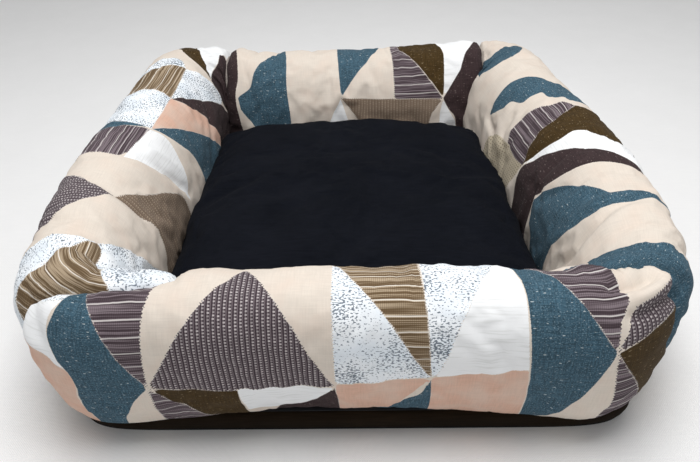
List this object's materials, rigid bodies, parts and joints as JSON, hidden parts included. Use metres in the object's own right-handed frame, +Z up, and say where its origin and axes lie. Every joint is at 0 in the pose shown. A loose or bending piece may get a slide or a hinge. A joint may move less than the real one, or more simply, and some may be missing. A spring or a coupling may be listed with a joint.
{
  "type": "pet cushion bed",
  "caption": "Rectangular pet bed with stuffed printed-cloth bolster walls on a padded base and a loose zipped cushion in the well.",
  "frame": {"origin": "middle of the underside of the base, on the floor", "axes": "+Z up, +X to the right seen from the front, +Y to the back; the front bolster is at -Y"},
  "size_m": [0.597, 0.637, 0.17],
  "materials": {
    "printed_cloth": "woven cotton canvas with a geometric patchwork print",
    "cushion_cloth": "plain black woven cotton",
    "band_cloth": "very dark brown woven cloth",
    "bottom_cloth": "dark bottom cloth",
    "lining_cloth": "dark lining cloth",
    "web_cloth": "dark lining cloth",
    "foam": "foam sheet, unseen",
    "fibre": "polyester fibre, unseen",
    "zip_tape": "woven zip tape",
    "zip_coil": "nylon coil",
    "zip_metal": "black enamelled metal"
  },
  "bodies": {
    "bed": {"base_bottom": "bottom_cloth", "base_band": "band_cloth", "base_lining": "lining_cloth", "base_pad": "foam", "front_bolster_cover": "printed_cloth", "back_bolster_cover": "printed_cloth", "left_bolster_cover": "printed_cloth", "right_bolster_cover": "printed_cloth", "front_bolster_filling": "fibre", "back_bolster_filling": "fibre", "left_bolster_filling": "fibre", "right_bolster_filling": "fibre", "corner_web_front_left": "web_cloth", "corner_web_front_right": "web_cloth", "corner_web_back_left": "web_cloth", "corner_web_back_right": "web_cloth"},
    "cushion": {"cushion_top_panel": "cushion_cloth", "cushion_bottom_panel": "cushion_cloth", "cushion_filling": "fibre", "zip_placket": "cushion_cloth", "zip_tape_front": "zip_tape", "zip_tape_back": "zip_tape", "zip_coil_front": "zip_coil", "zip_coil_back": "zip_coil", "zip_top_stops": "zip_metal", "zip_bottom_stop": "zip_metal"},
    "zip_slider": {"zip_slider": "zip_metal"},
    "zip_pull": {"zip_pull": "zip_metal"}
  },
  "joints": [
    {"name": "cushion_lift", "type": "slide", "parent": "bed", "child": "cushion", "axis": [0, 0, 1], "range_m": [0, 0.2]},
    {"name": "zip_slide", "type": "slide", "parent": "cushion", "child": "zip_slider", "axis": [-1, 0, 0], "range_m": [0, 0.2595]},
    {"name": "pull_swing", "type": "hinge", "parent": "zip_slider", "child": "zip_pull", "pos_m": [0.12975, 0.105, 0.03875], "axis": [0, 1, 0], "range_deg": [-85, 85]}
  ]
}
